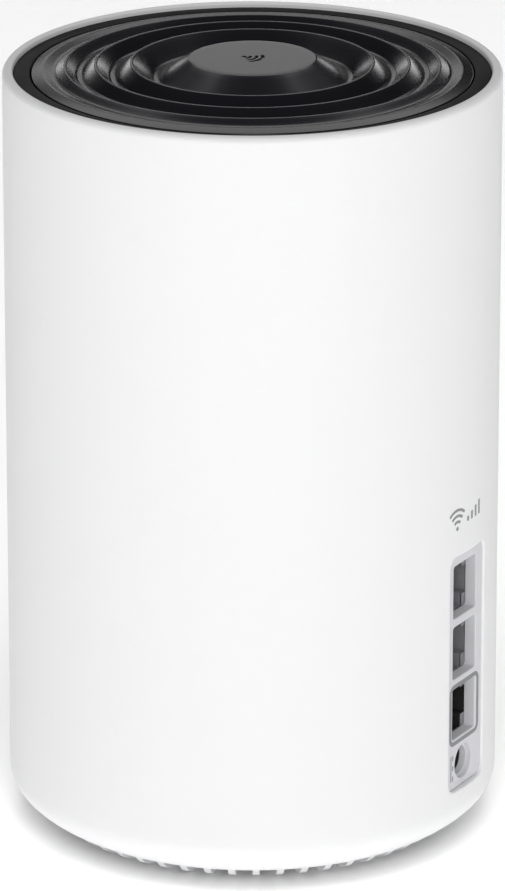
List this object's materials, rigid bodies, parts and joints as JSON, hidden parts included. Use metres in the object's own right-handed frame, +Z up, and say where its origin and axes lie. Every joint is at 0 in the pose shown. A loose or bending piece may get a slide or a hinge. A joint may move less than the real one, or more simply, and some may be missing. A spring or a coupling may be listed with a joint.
{
  "type": "mesh wifi node",
  "caption": "Upright cylindrical mesh wifi node: plain shell tucked in at the foot, rippled glossy lid, recessed panel of network and power sockets, ring of vents underneath.",
  "frame": {"origin": "on the table, in the middle of the round body", "axes": "+Z up; +Y out through the port panel at the back; +X to the left of someone who faces the port panel"},
  "size_m": [0.105, 0.105, 0.169],
  "materials": {
    "shell_white": "satin white moulding",
    "gloss_black": "piano black",
    "bezel_grey": "light grey, fine texture",
    "base_white": "white, fine texture",
    "foot_rubber": "grey rubber",
    "label_film": "blank printed film",
    "screw_steel": "zinc plated",
    "frame_plastic": "black moulding",
    "board_green": "solder mask",
    "chip_black": "moulded package",
    "can_steel": "tinned sheet",
    "pad_grey": "soft gap filler",
    "sink_aluminium": "extruded",
    "jack_grey": "glass-filled moulding",
    "jack_black": "glass-filled moulding",
    "jack_shield": "nickel plated sheet",
    "contact_gold": "gold plated",
    "button_white": "smooth moulding",
    "guide_clear": "translucent moulding",
    "lamp_white": "light emitting diode",
    "cable_black": "coaxial jacket",
    "ribbon_white": "flat film cable"
  },
  "bodies": {
    "node_body": {"antenna_1": "contact_gold", "antenna_2": "contact_gold", "antenna_3": "contact_gold", "antenna_4": "contact_gold", "antenna_cable_1": "cable_black", "antenna_cable_2": "cable_black", "antenna_cable_3": "cable_black", "antenna_cable_4": "cable_black", "base_cover": "base_white", "base_screws": "screw_steel", "capacitors": "can_steel", "chip_pads": "pad_grey", "coax_connectors": "contact_gold", "cover_screws": "screw_steel", "heat_sink": "sink_aluminium", "heat_sink_screws": "screw_steel", "inner_frame": "frame_plastic", "lan_jack_1_contacts": "contact_gold", "lan_jack_1_housing": "jack_grey", "lan_jack_1_shield": "jack_shield", "lan_jack_2_contacts": "contact_gold", "lan_jack_2_housing": "jack_grey", "lan_jack_2_shield": "jack_shield", "light_guide": "guide_clear", "main_board": "board_green", "memory_chips": "chip_black", "network_transformers": "chip_black", "outer_shell": "shell_white", "port_bezel": "bezel_grey", "power_inductors": "chip_black", "power_jack_body": "jack_black", "power_jack_pin": "contact_gold", "power_jack_spring": "contact_gold", "processor_chip": "chip_black", "radio_chips": "chip_black", "rating_label": "label_film", "rear_heat_sink": "sink_aluminium", "reset_switch": "chip_black", "ribbon_cable": "ribbon_white", "ribbon_connectors": "button_white", "rubber_feet": "foot_rubber", "service_board": "board_green", "service_screws": "screw_steel", "shield_cans": "can_steel", "status_lamp": "lamp_white", "thermal_pads": "pad_grey", "top_cover": "gloss_black", "top_trim_ring": "gloss_black", "wan_jack_contacts": "contact_gold", "wan_jack_housing": "jack_black", "wan_jack_shield": "jack_shield"},
    "reset_plunger": {"reset_button": "button_white"}
  },
  "joints": [
    {"name": "reset_press", "type": "slide", "parent": "node_body", "child": "reset_plunger", "axis": [0, 0, 1], "range_m": [0, 0.0005], "stiffness_N_per_m": 1000, "springref_m": -0.0005}
  ]
}
